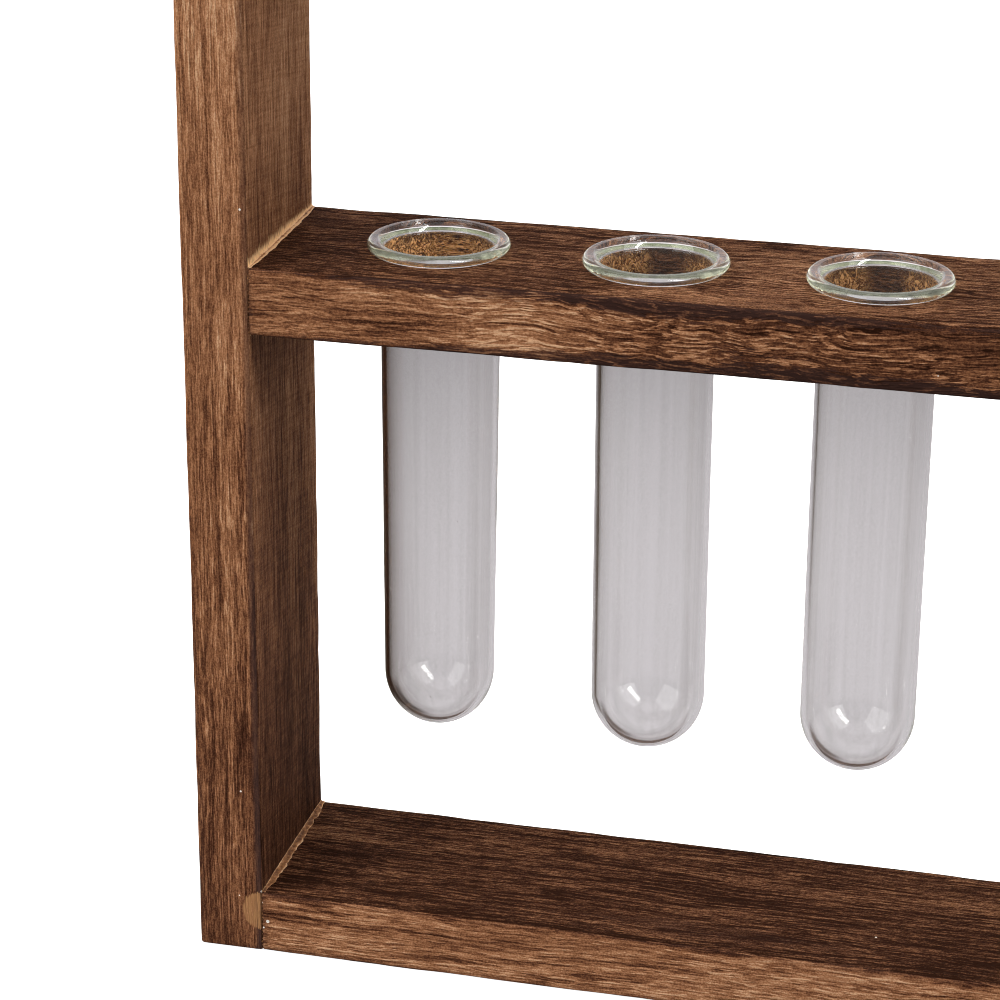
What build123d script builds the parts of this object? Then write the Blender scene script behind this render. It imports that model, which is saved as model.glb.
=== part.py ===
from build123d import *
import os

# Test tube vase: an upright wooden frame whose middle rail carries a row of glass tubes by their lips.
# Two posts stand on the table and three rails join them: one at the bottom, one for the tubes, one on top.
# X runs along the rails, Y through the depth of the boards and Z up. Every size is in millimetres.
# The origin is under the middle of the frame, on the surface that it stands on.

# Glass tubes, each with a round bottom and a flared lip
tube_count = 5
tube_diameter = 30.0
glass_wall = 1.2
bottom_glass = 1.8
tube_reach = 133.0
lip_overhang = 3.4
lip_height = 2.6
throat_share = 0.72

# Boards of the frame
board_thickness = 18.0
frame_depth = 57.0
frame_height = 373.0
edge_round = 0.8

# The tube rail and the holes in it
tube_rail_top = 195.4
tube_pitch = 56.4
end_margin = 42.6
hole_clearance = 0.7
hole_break = 0.5
neck_share = 0.8

# Dowels, two in each joint between a rail and a post
dowel_diameter = 6.0
dowel_length = 30.0
dowel_in_post = 11.0
dowel_spacing = 28.0
dowel_end_break = 0.6
dowel_clearance = 0.08
dowel_end_gap = 0.5

# How far a cutting tool runs past the face that it opens
overrun = 1.0

# Sizes that follow from the ones above
tube_radius = tube_diameter / 2
bore_radius = tube_radius - glass_wall
lip_radius = tube_radius + lip_overhang
bead_radius = lip_height / 2
rim_start = lip_radius - bead_radius
throat_radius = throat_share * (rim_start - bore_radius)
hole_radius = tube_radius + hole_clearance
neck_radius = hole_clearance * neck_share
inner_width = 2 * end_margin + (tube_count - 1) * tube_pitch
post_centre = (inner_width + board_thickness) / 2
rail_heights = {
    "bottom": board_thickness / 2,
    "tube": tube_rail_top - board_thickness / 2,
    "top": frame_height - board_thickness / 2,
}
sides = {"left": -1, "right": 1}
dowel_places = {"front": -dowel_spacing / 2, "back": dowel_spacing / 2}
tube_places = [end_margin + i * tube_pitch - inner_width / 2 for i in range(tube_count)]


def lengthwise_edges(board, axis):
    """The four long edges of a board whose grain runs along the axis."""
    return board.edges().filter_by(axis)


def dowel_bore(side, height, depth_place):
    """The space that one dowel needs: it crosses the joint face and has room at both blind ends."""
    length = dowel_length + 2 * dowel_end_gap
    middle = inner_width / 2 + dowel_in_post - dowel_length / 2
    bore = Cylinder(dowel_diameter / 2 + dowel_clearance, length, rotation=(0, 90, 0))
    return Pos(side * middle, depth_place, height) * bore


def joint_bores(rail_name, side):
    """Both dowel bores of the joint between a rail and the post on that side."""
    height = rail_heights[rail_name]
    return [dowel_bore(side, height, place) for place in dowel_places.values()]


def post(side):
    """A post: a full-height board with softened edges, bored on its inner face for the dowels of three rails."""
    board = Box(board_thickness, frame_depth, frame_height)
    board = fillet(board.edges(), edge_round)
    board = Pos(side * post_centre, 0, frame_height / 2) * board
    for rail_name in rail_heights:
        board -= joint_bores(rail_name, side)
    return board


def rail(rail_name):
    """A rail: a board that butts between the posts, its long edges softened and its ends bored for dowels."""
    board = Box(inner_width, frame_depth, board_thickness)
    board = fillet(lengthwise_edges(board, Axis.X), edge_round)
    board = Pos(0, 0, rail_heights[rail_name]) * board
    for side in sides.values():
        board -= joint_bores(rail_name, side)
    return board


def tube_hole(place):
    """A round hole right through the tube rail, its rims broken at the top and the bottom face."""
    hole = Cylinder(hole_radius, board_thickness + 2 * overrun)
    rim = Cone(hole_radius, hole_radius + hole_break + overrun, hole_break + overrun)
    lift = (board_thickness - hole_break + overrun) / 2
    hole += Pos(0, 0, lift) * rim
    hole += Pos(0, 0, -lift) * Rot(180, 0, 0) * rim
    return Pos(place, 0, rail_heights["tube"]) * hole


def tube_rail():
    """The rail that carries the tubes, with one hole for each."""
    return rail("tube") - [tube_hole(place) for place in tube_places]


def dowel(side, height, depth_place):
    """A wooden pin with broken ends, part of it in the post and the rest in the rail."""
    pin = Cylinder(dowel_diameter / 2, dowel_length, rotation=(0, 90, 0))
    pin = chamfer(pin.edges().filter_by(GeomType.CIRCLE), dowel_end_break)
    middle = inner_width / 2 + dowel_in_post - dowel_length / 2
    return Pos(side * middle, depth_place, height) * pin


def tube_profile():
    """Half the section of a tube, with the underside of its lip at height zero.
    The outline climbs the outside from the lowest point, rounds the lip and comes down inside."""
    bottom_centre = tube_radius - tube_reach
    bore_bottom = bottom_glass - tube_reach
    bore_centre = bore_bottom + bore_radius
    throat_top = bore_radius + throat_radius
    throat_start = lip_height - throat_radius
    with BuildSketch(Plane.XZ) as section:
        with BuildLine():
            CenterArc((0, bottom_centre), tube_radius, -90, 90)
            Line((tube_radius, bottom_centre), (tube_radius, -neck_radius))
            CenterArc((tube_radius + neck_radius, -neck_radius), neck_radius, 90, 90)
            Line((tube_radius + neck_radius, 0), (rim_start, 0))
            CenterArc((rim_start, bead_radius), bead_radius, -90, 180)
            Line((rim_start, lip_height), (throat_top, lip_height))
            CenterArc((throat_top, throat_start), throat_radius, 90, 90)
            Line((bore_radius, throat_start), (bore_radius, bore_centre))
            CenterArc((0, bore_centre), bore_radius, -90, 90)
            Line((0, bore_bottom), (0, -tube_reach))
        make_face()
    return section.sketch


def tube(place):
    """A glass tube turned from its section, hanging in its hole with the lip seated on the rail."""
    return Pos(place, 0, tube_rail_top) * revolve(tube_profile(), Axis.Z)


def all_nodes():
    """Every separate piece by name, where it is when the vase stands ready."""
    nodes = {f"{name}_post": post(side) for name, side in sides.items()}
    nodes["bottom_rail"] = rail("bottom")
    nodes["tube_rail"] = tube_rail()
    nodes["top_rail"] = rail("top")
    for number, place in enumerate(tube_places, start=1):
        nodes[f"tube_{number}"] = tube(place)
    for rail_name, height in rail_heights.items():
        for side_name, side in sides.items():
            for place_name, place in dowel_places.items():
                name = f"dowel_{rail_name}_{side_name}_{place_name}"
                nodes[name] = dowel(side, height, place)
    return nodes


os.makedirs("parts", exist_ok=True)
for node_name, shape in all_nodes().items():
    export_step(shape, f"parts/{node_name}.step")
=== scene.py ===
# %% [markdown]
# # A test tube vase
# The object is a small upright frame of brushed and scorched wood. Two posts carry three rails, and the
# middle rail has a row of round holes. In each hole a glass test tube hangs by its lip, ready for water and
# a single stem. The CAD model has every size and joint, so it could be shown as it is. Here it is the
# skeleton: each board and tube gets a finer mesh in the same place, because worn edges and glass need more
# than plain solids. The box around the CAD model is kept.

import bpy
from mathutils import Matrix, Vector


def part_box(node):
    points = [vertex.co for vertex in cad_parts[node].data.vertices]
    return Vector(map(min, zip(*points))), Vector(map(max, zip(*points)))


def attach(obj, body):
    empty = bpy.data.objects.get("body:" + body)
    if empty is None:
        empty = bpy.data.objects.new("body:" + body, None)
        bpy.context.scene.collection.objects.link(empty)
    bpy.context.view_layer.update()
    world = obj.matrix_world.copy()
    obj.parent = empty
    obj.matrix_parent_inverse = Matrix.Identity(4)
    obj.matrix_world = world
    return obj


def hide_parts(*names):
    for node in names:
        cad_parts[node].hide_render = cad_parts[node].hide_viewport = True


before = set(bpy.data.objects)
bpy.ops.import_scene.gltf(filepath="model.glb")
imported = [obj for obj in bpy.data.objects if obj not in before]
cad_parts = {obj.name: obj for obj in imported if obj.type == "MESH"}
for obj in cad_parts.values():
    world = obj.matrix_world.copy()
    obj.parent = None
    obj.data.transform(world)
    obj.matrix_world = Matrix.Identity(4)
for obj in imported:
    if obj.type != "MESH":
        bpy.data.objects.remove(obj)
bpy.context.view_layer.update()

# %% Import Blender and set the units
import math
import random

import bmesh
import bpy
from mathutils import Matrix, Vector, noise

MM = 0.001
scene = bpy.context.scene
rail_low, rail_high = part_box("tube_rail")
print("room between the posts:", round((rail_high.x - rail_low.x) / MM, 1), "mm")

# %% [markdown]
# ## The camera
# The photograph is a close view from the front right, looking down at the left part of the frame. The
# camera could be moved by eye until the edges meet. It was worked out instead from the corners of the
# boards, whose sizes are known, so its place, direction and long lens fit the photograph together.

# %% Place the camera
camera_place = Vector((87.46, -770.31, 443.53)) * MM
camera_turn = 0.2347
camera_tilt = 0.3795
camera_roll = 0.0079
camera_lens = 116.8

turn_cos, turn_sin = math.cos(camera_turn), math.sin(camera_turn)
tilt_cos, tilt_sin = math.cos(camera_tilt), math.sin(camera_tilt)
ahead = Vector((-turn_sin * tilt_cos, turn_cos * tilt_cos, -tilt_sin))
level_side = Vector((turn_cos, turn_sin, 0))
level_up = level_side.cross(ahead)
side = level_side * math.cos(camera_roll) + level_up * math.sin(camera_roll)
up = level_up * math.cos(camera_roll) - level_side * math.sin(camera_roll)

camera_data = bpy.data.cameras.new("camera")
camera_data.sensor_width = 36
camera_data.lens = camera_lens
camera_data.clip_start = 0.01
camera_data.clip_end = 50
camera = bpy.data.objects.new("camera", camera_data)
camera.matrix_world = Matrix.Translation(camera_place) @ Matrix((side, up, -ahead)).transposed().to_4x4()
scene.collection.objects.link(camera)
scene.camera = camera
print("camera looks along", [round(v, 3) for v in ahead])

# %% [markdown]
# ## Helpers for shader nodes
# A procedural material is a chain of small nodes. They could be placed by hand in the shader editor, or
# with three lines of code each. A small class that adds a node, joins its inputs and gives back its output
# keeps the long chains of wood and glass short enough to read.

# %% Wire nodes together


class Wiring:
    """Adds nodes to one node tree. Each method gives back an output socket, ready to feed the next node."""

    def __init__(self, tree):
        self.tree = tree
        self.count = 0

    def node(self, kind, **settings):
        made = self.tree.nodes.new(kind)
        made.location = (self.count % 8 * 220, self.count // 8 * -320)
        self.count += 1
        for name, value in settings.items():
            setattr(made, name, value)
        return made

    def feed(self, socket, value):
        if isinstance(value, bpy.types.NodeSocket):
            self.tree.links.new(value, socket)
        else:
            socket.default_value = value

    def feed_all(self, sockets, values):
        for socket, value in zip(sockets, values):
            self.feed(socket, value)

    def set(self, node, **values):
        for name, value in values.items():
            self.feed(node.inputs[name.replace("_", " ")], value)

    def math(self, operation, *values, clamp=False):
        made = self.node("ShaderNodeMath", operation=operation, use_clamp=clamp)
        self.feed_all(made.inputs, values)
        return made.outputs[0]

    def plus(self, first, second, clamp=False):
        return self.math("ADD", first, second, clamp=clamp)

    def minus(self, first, second, clamp=False):
        return self.math("SUBTRACT", first, second, clamp=clamp)

    def times(self, first, second):
        return self.math("MULTIPLY", first, second)

    def times_plus(self, value, factor, added):
        return self.math("MULTIPLY_ADD", value, factor, added)

    def sway(self, value, amount, base):
        """The base, moved up and down as the value goes above and below one half."""
        return self.times_plus(self.minus(value, 0.5), amount, base)

    def vector(self, operation, *values):
        made = self.node("ShaderNodeVectorMath", operation=operation)
        self.feed_all(made.inputs, values)
        return made.outputs[1] if operation in {"LENGTH", "DISTANCE"} else made.outputs[0]

    def split(self, vector):
        made = self.node("ShaderNodeSeparateXYZ")
        self.feed(made.inputs[0], vector)
        return made.outputs[0], made.outputs[1], made.outputs[2]

    def join(self, x, y, z):
        made = self.node("ShaderNodeCombineXYZ")
        self.feed_all(made.inputs, (x, y, z))
        return made.outputs[0]

    def noise(self, vector, stretch, detail=2.0, roughness=0.5, colour=False):
        made = self.node("ShaderNodeTexNoise", noise_dimensions="3D")
        stretched = self.vector("MULTIPLY", vector, stretch)
        self.set(made, Vector=stretched, Scale=1.0, Detail=detail, Roughness=roughness)
        return made.outputs[1 if colour else 0]

    def bands(self, value, fineness, detail=2.0):
        made = self.node("ShaderNodeTexNoise", noise_dimensions="1D")
        self.set(made, W=self.times(value, fineness), Scale=1.0, Detail=detail)
        return made.outputs[0]

    def step(self, value, low, high, start=0.0, end=1.0):
        made = self.node("ShaderNodeMapRange", interpolation_type="SMOOTHSTEP")
        self.feed_all(made.inputs, (value, low, high, start, end))
        return made.outputs[0]

    def ramp(self, value, stops):
        made = self.node("ShaderNodeValToRGB")
        self.feed(made.inputs[0], value)
        marks = made.color_ramp.elements
        while len(marks) < len(stops):
            marks.new(0.5)
        for mark, (place, colour) in zip(marks, stops):
            mark.position = place
            mark.color = (*colour, 1)
        return made.outputs[0]

    def mix(self, share, first, second):
        made = self.node("ShaderNodeMix", data_type="RGBA")
        self.feed_all((made.inputs[0], made.inputs[6], made.inputs[7]), (share, first, second))
        return made.outputs[2]

    def blend(self, share, first, second):
        made = self.node("ShaderNodeMix", data_type="FLOAT")
        self.feed_all((made.inputs[0], made.inputs[2], made.inputs[3]), (share, first, second))
        return made.outputs[0]

    def group(self, tree, **values):
        made = self.node("ShaderNodeGroup", node_tree=tree)
        self.set(made, **values)
        return made

    def shader(self, kind, **values):
        made = self.node(kind)
        self.set(made, **values)
        return made.outputs[0]

    def place(self):
        """Where a point is on its object, and which way the surface faces there."""
        made = self.node("ShaderNodeTexCoord")
        return made.outputs["Object"], made.outputs["Normal"]

    def by_ray(self, kind, otherwise, hit):
        """One shader for the rays of a kind and another for all the rest."""
        made = self.node("ShaderNodeMixShader")
        asked = self.node("ShaderNodeLightPath").outputs[kind]
        self.feed_all(made.inputs, (asked, otherwise, hit))
        return made.outputs[0]


# %% Start a node group and a material


def start_group(name, inputs, outputs):
    """A new node group: its wiring, its inputs and its outputs. The inputs come with their first values, and
    an output that is called Color holds a colour."""
    tree = bpy.data.node_groups.new(name, "ShaderNodeTree")
    for label, value in inputs.items():
        kind = "NodeSocketVector" if isinstance(value, tuple) else "NodeSocketFloat"
        tree.interface.new_socket(name=label, in_out="INPUT", socket_type=kind).default_value = value
    for label in outputs:
        kind = "NodeSocketColor" if label == "Color" else "NodeSocketFloat"
        tree.interface.new_socket(name=label, in_out="OUTPUT", socket_type=kind)
    wires = Wiring(tree)
    entry = wires.node("NodeGroupInput")
    leave = wires.node("NodeGroupOutput")
    return wires, entry.outputs, leave.inputs


def start_tree(owner):
    """Empties the node tree of a material or a world and gives back its wiring."""
    owner.use_nodes = True
    owner.node_tree.nodes.clear()
    return Wiring(owner.node_tree)


def start_material(name):
    """A new material: the material, its wiring, its Principled shader and its output node."""
    material = bpy.data.materials.new(name)
    wires = start_tree(material)
    shader = wires.node("ShaderNodeBsdfPrincipled")
    out = wires.node("ShaderNodeOutputMaterial")
    wires.feed(out.inputs["Surface"], shader.outputs[0])
    return material, wires, shader, out


def add_bump(wires, shader, height, depth, strength):
    """Feeds a height to the shader's normal. The depth is what a height of one stands for, in metres."""
    wires.set(shader, Normal=wires.shader("ShaderNodeBump", Height=height, Distance=depth, Strength=strength))


print("helpers are ready")

# %% [markdown]
# ## Wood grain as a node group
# The boards show grain as long lines of many widths: growth rings, coarse fibres, pale dashes where brushed
# grain stands up, and dark streaks. A photo of wood wrapped round a board would not run through its edges.
# Noise that is stretched along the grain does, and one group serves every board, each with its own seed.

# %% Build the grain group
ring_spacing = 2.6 * MM
pith = (24 * MM, -52 * MM)
seed_shift = (1.0, 0.37, 0.71)
noise_middle = (0.5, 0.5, 0.5)
# Fineness along and across the grain, detail, roughness and reach of each wave
waves = (((22, 50, 50), 2, 0.45, 9 * MM), ((150, 260, 260), 1, 0.5, 1.1 * MM))
# Fineness, detail, roughness and the noise values between which a line begins
line_kinds = {
    "ridges": ((55, 1500, 1500), 1, 0.5, 0.42, 0.58),
    "threads": ((330, 2300, 2300), 1, 0.5, 0.40, 0.60),
    "dashes": ((150, 1650, 1650), 1, 0.45, 0.53, 0.585),
    "streaks": ((26, 560, 560), 2, 0.55, 0.55, 0.63),
}
patch_fineness = (17, 60, 60)
grit_fineness = (1900, 2600, 2600)

wires, given, result = start_group(
    "Long Grain",
    {"Grain Vector": (0, 0, 0), "Seed": 0.0, "Waviness": 1.0},
    ["Rings", "Fibres", "Dashes", "Streaks", "Patches", "Grit", "Height"],
)
shift = wires.join(*[wires.times(given["Seed"], share) for share in seed_shift])
place = wires.vector("ADD", given["Grain Vector"], shift)
wave = (0, 0, 0)
for stretch, detail, roughness, reach in waves:
    swing = wires.vector("SUBTRACT", wires.noise(place, stretch, detail, roughness, True), noise_middle)
    wave = wires.vector("ADD", wires.vector("MULTIPLY", swing, (0, reach, reach)), wave)
wave = wires.vector("MULTIPLY", wave, wires.join(0.0, given["Waviness"], given["Waviness"]))
grain = wires.vector("ADD", place, wave)

across = wires.vector("SUBTRACT", wires.vector("ADD", given["Grain Vector"], wave), (0, *pith))
ring_radius = wires.vector("LENGTH", wires.vector("MULTIPLY", across, (0.03, 1, 1)))
rings = wires.bands(ring_radius, 1 / ring_spacing, 3)
lines = {
    name: wires.step(wires.noise(grain, stretch, detail, roughness), low, high)
    for name, (stretch, detail, roughness, low, high) in line_kinds.items()
}
fibres = wires.blend(0.45, lines["ridges"], lines["threads"])
dashes, streaks = lines["dashes"], lines["streaks"]
patches = wires.noise(place, patch_fineness, 2, 0.5)
grit = wires.step(wires.noise(place, grit_fineness, 1, 0.6), 0.34, 0.66)

height = wires.times(fibres, 0.55)
for share, source in ((0.12, rings), (0.30, dashes), (-0.25, streaks), (0.12, grit)):
    height = wires.times_plus(source, share, height)
wires.feed_all(result, (rings, fibres, dashes, streaks, patches, grit, height))
grain_group = wires.tree
print("grain group has", len(grain_group.nodes), "nodes")

# %% [markdown]
# ## Where a point lies on its board
# Wear and scorching follow the long corners, called arrises, and the narrow front face of a board is paler
# than its wide faces. A painted mask could hold this. But the board's own size and the position give the
# distance to the nearest arris, and the normal tells front from side, so a group works it out.

# %% Build the board group
wires, given, result = start_group(
    "Board Place",
    {"Position": (0, 0, 0), "Normal": (0, 0, 1), "Centre": (0, 0, 0), "Half Size": (1, 1, 1)},
    ["Arris", "Front", "Wide"],
)
offset = wires.vector("ABSOLUTE", wires.vector("SUBTRACT", given["Position"], given["Centre"]))
inset_x, inset_y, inset_z = wires.split(wires.vector("SUBTRACT", given["Half Size"], offset))
nearer = wires.math("MINIMUM", inset_x, inset_y)
farther = wires.math("MAXIMUM", inset_x, inset_y)
arris = wires.math("MAXIMUM", nearer, wires.math("MINIMUM", farther, inset_z))
facing = wires.split(wires.vector("ABSOLUTE", given["Normal"]))[1]
front = wires.step(facing, 0.45, 0.85)
wires.feed_all(result, (arris, front, wires.minus(1.0, front)))
board_group = wires.tree
print("board group has", len(board_group.nodes), "nodes")

# %% [markdown]
# ## The scorched and brushed finish
# The wood was stained, scorched and then brushed, so soft grain is burnt dark and hard grain is golden
# brown. Each grain mask could have a colour of its own. Real scorching only makes one wood lighter or
# darker, so all masks first add up to one tone, and one colour ramp turns the tone into wood. Near an arris
# the flame bit deeper and left a little cool soot, which is mixed in last.

# %% Build the finish group
burnt = (0.020, 0.0068, 0.0030)
umber = (0.078, 0.0300, 0.0150)
brown = (0.200, 0.0835, 0.0380)
golden = (0.380, 0.182, 0.088)
tan = (0.620, 0.375, 0.215)
soot = (0.046, 0.0260, 0.0225, 1)
tone_shares = {"Rings": 0.32, "Fibres": 0.40, "Grit": 0.20, "Patches": 0.36}
scorch_raggedness = {"Patches": 2.4, "Fibres": 0.5}
pale_arris_amount = 0.13

wires, given, result = start_group(
    "Scorched Finish",
    {
        "Grain Vector": (0, 0, 0), "Arris": 1.0, "Tone": 0.5, "Seed": 0.0, "Waviness": 1.0, "Contrast": 1.0,
        "Dash Amount": 0.2, "Streak Amount": 0.2, "Scorch Amount": 0.2, "Scorch Reach": 4 * MM,
    },
    ["Color", "Roughness", "Height"],
)
masks = wires.group(
    grain_group, Grain_Vector=given["Grain Vector"], Seed=given["Seed"], Waviness=given["Waviness"]
).outputs
tone = 0.0
for mask, share in tone_shares.items():
    tone = wires.sway(masks[mask], share, tone)
tone = wires.times_plus(tone, given["Contrast"], given["Tone"])
dash_field = wires.step(masks["Patches"], 0.36, 0.58)
dash = wires.times(wires.times(masks["Dashes"], dash_field), given["Dash Amount"])
tone = wires.plus(tone, dash)
tone = wires.minus(tone, wires.times(masks["Streaks"], given["Streak Amount"]))
far_off = wires.math("DIVIDE", given["Arris"], given["Scorch Reach"], clamp=True)
ragged = wires.minus(1.0, far_off)
for mask, share in scorch_raggedness.items():
    ragged = wires.sway(masks[mask], share, ragged)
scorch = wires.step(ragged, 0.45, 0.85)
tone = wires.minus(tone, wires.times(scorch, given["Scorch Amount"]))
# Paler along the arris: partly painted highlight where the rounded arris catches light, partly wear.
on_arris = wires.step(given["Arris"], 0.9 * MM, 0.1 * MM)
pale_arris = wires.times(on_arris, wires.step(masks["Fibres"], 0.45, 0.6))
tone = wires.times_plus(pale_arris, pale_arris_amount, tone)
colour = wires.ramp(tone, [(0.0, burnt), (0.27, umber), (0.5, brown), (0.74, golden), (1.0, tan)])
soot_share = wires.times(scorch, wires.times(given["Scorch Amount"], 1.2))
colour = wires.mix(soot_share, colour, soot)
roughness = wires.blend(wires.step(tone, 0.1, 0.8), 0.72, 0.52)
wires.feed_all(result, (colour, roughness, masks["Height"]))
finish_group = wires.tree
print("finish group has", len(finish_group.nodes), "nodes")

# %% [markdown]
# ## Specks
# A few pale crumbs of dust and glue sit on the wood, and small seeds and dust on the glass. Each could be a
# tiny mesh, but most are thinner than a hair. A Voronoi texture puts one dot in each cell, and a random
# number for the cell decides whether that dot shows, so they stay few and far apart.

# %% Build the speck group
wires, given, result = start_group(
    "Sparse Specks", {"Position": (0, 0, 0), "Cell": 6 * MM, "Share": 0.1, "Size": 0.05}, ["Mask"]
)
cell = wires.node("ShaderNodeTexVoronoi", voronoi_dimensions="3D", feature="F1")
wires.set(cell, Vector=given["Position"], Scale=wires.math("DIVIDE", 1.0, given["Cell"]))
draw, draw_size, _ = wires.split(cell.outputs["Color"])
chosen = wires.math("LESS_THAN", draw, given["Share"])
reach = wires.times(given["Size"], wires.plus(draw_size, 0.35))
inside = wires.math("LESS_THAN", cell.outputs["Distance"], reach)
wires.feed(result["Mask"], wires.times(chosen, inside))
speck_group = wires.tree
print("speck group has", len(speck_group.nodes), "nodes")

# %% [markdown]
# ## One wood material for each board
# Every board was cut from another plank and scorched by hand, so one shared material would repeat the same
# lines. A function makes a material from the groups and from a short list of values: seed, tone, streaks
# and the way of the grain. The wide faces of the posts also keep fine, nearly level marks of the brush, and
# the left one darkens towards its front edge. Wiped glue along the joints, a dab of filler at the foot of
# the left post and a few white crumbs lie flat on the wood, so they are masks in the same materials, placed
# by their distance from a level, a point or a corner.

# %% Describe the boards
# A pair of values is for the front face and the wide faces. In front and in wide, each pair is a place along
# the board, from 0 to 1, and the tone there.
post_look = dict(grain="Z", contrast=(0.82, 0.70), dashes=(0.18, 0.03), scorch=0.14, reach=2.5 * MM)
board_looks = {
    "left_post": dict(
        post_look, seed=0.31, waviness=0.22, streaks=0.13, front_edge=-0.085,
        # The left post darkens towards the bottom, on its front and its wide faces: partly painted shade, as
        # less light reaches low down and under the tube rail, partly the stain.
        front=((0, 0.34), (0.10, 0.335), (0.4, 0.53), (0.68, 0.72), (1, 0.64)),
        wide=(
            (0, 0.14), (0.4, 0.51), (0.53, 0.50), (0.565, 0.55),
            (0.62, 0.65), (0.66, 0.645), (0.7, 0.60), (1, 0.555),
        ),
    ),
    "right_post": dict(
        post_look, seed=0.77, waviness=0.30, streaks=0.15,
        front=((0, 0.45), (0.3, 0.55), (0.7, 0.42), (1, 0.60)), wide=((0, 0.24), (0.5, 0.40), (1, 0.30)),
    ),
    "bottom_rail": dict(
        grain="X", seed=0.13, waviness=0.40, contrast=(1.0, 1.2), dashes=(0.20, 0.12), streaks=0.22,
        scorch=0.16, reach=2.5 * MM, back=0.075,
        front=((0, 0.51), (0.10, 0.585), (0.14, 0.60), (0.5, 0.57), (1, 0.54)),
        wide=((0, 0.10), (0.5, 0.11), (1, 0.17)),
    ),
    "tube_rail": dict(
        grain="X", seed=0.59, waviness=1.0, contrast=(0.88, 1.3), dashes=(0.37, 0.14), streaks=0.24,
        scorch=0.38, reach=5.0 * MM,
        front=((0, 0.60), (0.25, 0.60), (0.33, 0.33), (0.5, 0.29), (1, 0.46)),
        # The top and bottom faces of the tube rail are darker towards its left end.
        wide=((0, 0.13), (0.35, 0.36), (1, 0.31)),
    ),
    "top_rail": dict(
        grain="X", seed=0.92, waviness=0.9, contrast=(1.0, 1.3), dashes=(0.30, 0.08), streaks=0.24,
        scorch=0.28, reach=4.0 * MM, front=((0, 0.40), (0.4, 0.50), (1, 0.42)), wide=((0, 0.24), (1, 0.28)),
    ),
}


def place_on_board(wires, node):
    """The position, the board group's outputs and how far along the board a point is, from 0 to 1."""
    low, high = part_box(node)
    position, normal = wires.place()
    board = wires.group(
        board_group, Position=position, Normal=normal, Centre=(low + high) / 2, Half_Size=(high - low) / 2
    )
    x, y, z = wires.split(position)
    if board_looks[node]["grain"] == "Z":
        along = wires.math("DIVIDE", wires.minus(z, low.z), high.z - low.z)
        return position, board.outputs, wires.join(z, x, y), along
    along = wires.math("DIVIDE", wires.minus(x, low.x), high.x - low.x)
    return position, board.outputs, position, along


print("boards described:", sorted(board_looks))

# %% Put glue, filler and crumbs on the wood
chalk = (0.80, 0.76, 0.68, 1)
smear_tan = (0.92, 0.55, 0.265, 1)
filler_gold = (0.37, 0.190, 0.080, 1)
smears = ((195.4 * MM, 2.8 * MM, 1.0), (18.0 * MM, 0.9 * MM, 0.35))
smear_narrowing = 1.9
filler_spot = Vector((-155.4, -28.5, 12.2)) * MM
filler_radius = 6.3 * MM
burnt_inner_arris = (158.0 * MM, 156.4 * MM)
burnt_down_from = 230 * MM
burnt_down_to = 20 * MM
# Place across and up on the front of the frame, and radius
crumbs = (
    (-157.3, 210.5, 0.30), (-160.8, 48.0, 0.28), (-161.9, 16.3, 0.20), (-155.6, 18.2, 0.32),
    (-155.5, 15.0, 0.24), (-154.0, 9.3, 0.48), (-155.2, 7.3, 0.26),
)


def smear_glue(wires, node, position, wide, fibres, color):
    """Pale glue wiped along the joints on the inner face of a post, and a dab of filler on its front."""
    middle = abs(sum(corner.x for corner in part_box(node))) / 2
    x, y, z = wires.split(position)
    aside = wires.math("ABSOLUTE", x)
    inner = wires.times(wide, wires.math("LESS_THAN", aside, middle))
    front = wires.minus(1.0, wide)
    burnt_edge = wires.times(wires.step(aside, *burnt_inner_arris), front)
    burnt_edge = wires.times(burnt_edge, wires.step(z, burnt_down_from, burnt_down_to, 0.35, 0.75))
    color = wires.mix(burnt_edge, color, soot)
    narrowing = wires.step(y, 0.0, 26 * MM, 1.0, smear_narrowing)
    for level, reach, strength in smears:
        above = wires.times(wires.minus(z, level), narrowing)
        ragged = wires.times_plus(wires.minus(fibres, 0.4), reach * 0.9, above)
        mask = wires.times(wires.step(ragged, reach, reach * 0.4), wires.math("GREATER_THAN", above, 0.0))
        mask = wires.times(mask, wires.times(inner, strength))
        mask = wires.times(mask, wires.step(fibres, 0.25, 0.50, 0.65, 1.0))
        color = wires.mix(mask, color, smear_tan)
    if node == "left_post":
        off = wires.vector("LENGTH", wires.vector("SUBTRACT", position, filler_spot))
        dab = wires.step(wires.times_plus(fibres, 1.0 * MM, off), filler_radius, filler_radius * 0.93)
        dab = wires.times(dab, wires.minus(1.15, wires.times(fibres, 0.90), clamp=True))
        color = wires.mix(wires.times(dab, front), color, filler_gold)
    return color


def drop_crumbs(wires, position, front, color):
    """White crumbs of dried glue on the front, at the places where the photograph shows them."""
    x, _, z = wires.split(position)
    found = 0.0
    for crumb_x, crumb_z, radius in crumbs:
        flat = wires.join(wires.minus(x, crumb_x * MM), 0.0, wires.minus(z, crumb_z * MM))
        inside = wires.math("LESS_THAN", wires.vector("LENGTH", flat), radius * MM)
        found = wires.math("MAXIMUM", inside, found)
    return wires.mix(wires.times(found, front), color, chalk)


print("crumbs on the front:", len(crumbs))

# %% Make the wood of every board
# The wide faces get a painted sheen: a cooler, less saturated tint in place of the faint grey reflection they
# show at grazing angles.
painted_sheen_tint = (1.0, 1.06, 1.08, 1)
back_from, back_to = -10 * MM, 15 * MM
front_from, front_to = -4 * MM, -20 * MM
brush_slope = 0.147
brush_depth = 0.2
wood_bump = 0.30 * MM


def brush_marks(wires, position):
    """Fine marks that the brush left across the wide faces of a post, nearly level, from -0.5 to 0.5."""
    x, y, z = wires.split(position)
    level = wires.times_plus(y, brush_slope, z)
    return wires.minus(wires.noise(wires.join(x, y, level), (60, 60, 1500), 1, 0.5), 0.5)


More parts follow.
